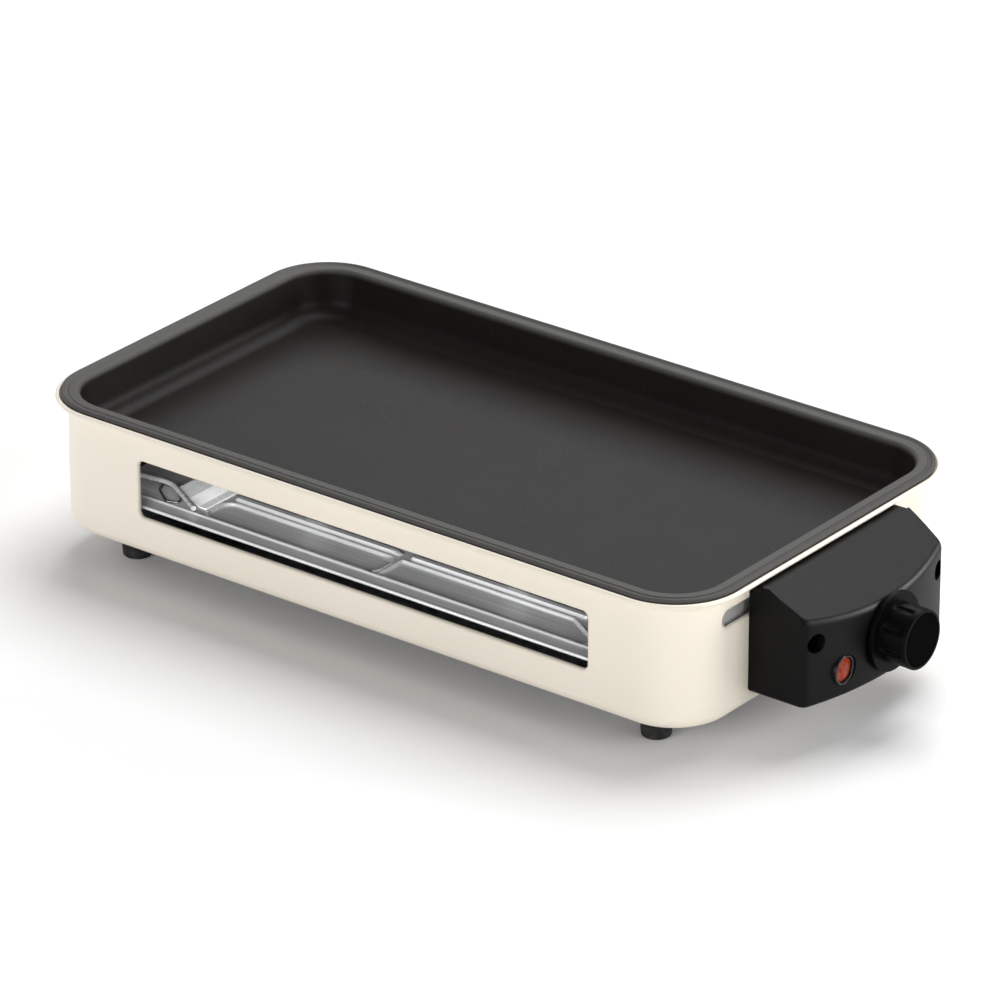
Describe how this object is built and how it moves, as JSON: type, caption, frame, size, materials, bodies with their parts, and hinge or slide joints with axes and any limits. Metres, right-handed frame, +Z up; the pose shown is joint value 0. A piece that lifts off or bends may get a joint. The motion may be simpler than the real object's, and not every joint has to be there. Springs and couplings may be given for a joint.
{
  "type": "electric griddle",
  "caption": "Rectangular electric griddle with a cream steel body, long side windows, a lift-off non-stick pan and an end control box with a thermostat knob and red lamp.",
  "frame": {"origin": "on the table surface under the middle of the whole appliance", "axes": "+X along the length towards the control box, +Y to the back, +Z up"},
  "size_m": [0.4594, 0.2282, 0.0872],
  "materials": {
    "cream_enamel": "satin",
    "zinc_steel": "dull zinc",
    "screw_steel": "bright",
    "rubber": "matte",
    "stainless": "satin",
    "dark_wire": "oxidised",
    "bright_steel": "bright",
    "heater_sheath": "oxidised",
    "ceramic": "matte",
    "nickel_plate": "plated",
    "mica_board": "matte",
    "box_plastic": "matte",
    "copper": "bright",
    "knob_plastic": "satin",
    "knob_face": "satin",
    "bezel_plastic": "satin",
    "lamp_red": "translucent gloss",
    "neon_glass": "clear",
    "nylon": "matte",
    "fuse_sleeve": "matte",
    "lead_brown": "satin",
    "lead_blue": "satin",
    "lead_green": "satin",
    "brass": "bright",
    "nonstick": "satin non-stick coating"
  },
  "bodies": {
    "base": {"housing": "cream_enamel", "pan_seats": "zinc_steel", "base_plate": "zinc_steel", "base_screws": "screw_steel", "feet": "rubber", "foot_screws": "screw_steel", "foot_nuts": "screw_steel", "reflector": "stainless", "reflector_wire": "dark_wire", "wire_loop": "dark_wire", "reflector_clip": "bright_steel", "heating_element": "heater_sheath", "element_seals": "ceramic", "element_pins": "nickel_plate", "element_bushings": "zinc_steel", "element_supports": "stainless", "mounting_plate": "bright_steel", "heat_shield": "mica_board", "control_box": "box_plastic", "box_screws": "screw_steel", "thermostat_body": "ceramic", "thermostat_bracket": "zinc_steel", "thermostat_screws": "screw_steel", "sensor_bulb": "copper", "capillary": "copper", "lamp_bezel": "bezel_plastic", "lamp_lens": "lamp_red", "lamp_body": "bezel_plastic", "neon_bulb": "neon_glass", "cord_gland": "rubber", "cord_clamp": "nylon", "clamp_screws": "screw_steel", "terminal_block": "nylon", "thermal_fuse": "fuse_sleeve", "live_lead": "lead_brown", "neutral_lead": "lead_blue", "earth_lead": "lead_green", "earth_screw": "brass"},
    "pan": {"pan": "nonstick"},
    "knob": {"knob": "knob_plastic", "knob_cap": "knob_face", "knob_clip": "zinc_steel", "thermostat_shaft": "nickel_plate"}
  },
  "joints": [
    {"name": "pan_lift", "type": "slide", "parent": "base", "child": "pan", "axis": [0, 0, 1], "range_m": [0, 0.1]},
    {"name": "knob_turn", "type": "hinge", "parent": "base", "child": "knob", "pos_m": [0.2187, -0.002, 0.0475], "axis": [1, 0, 0], "range_deg": [-270, 0]}
  ]
}
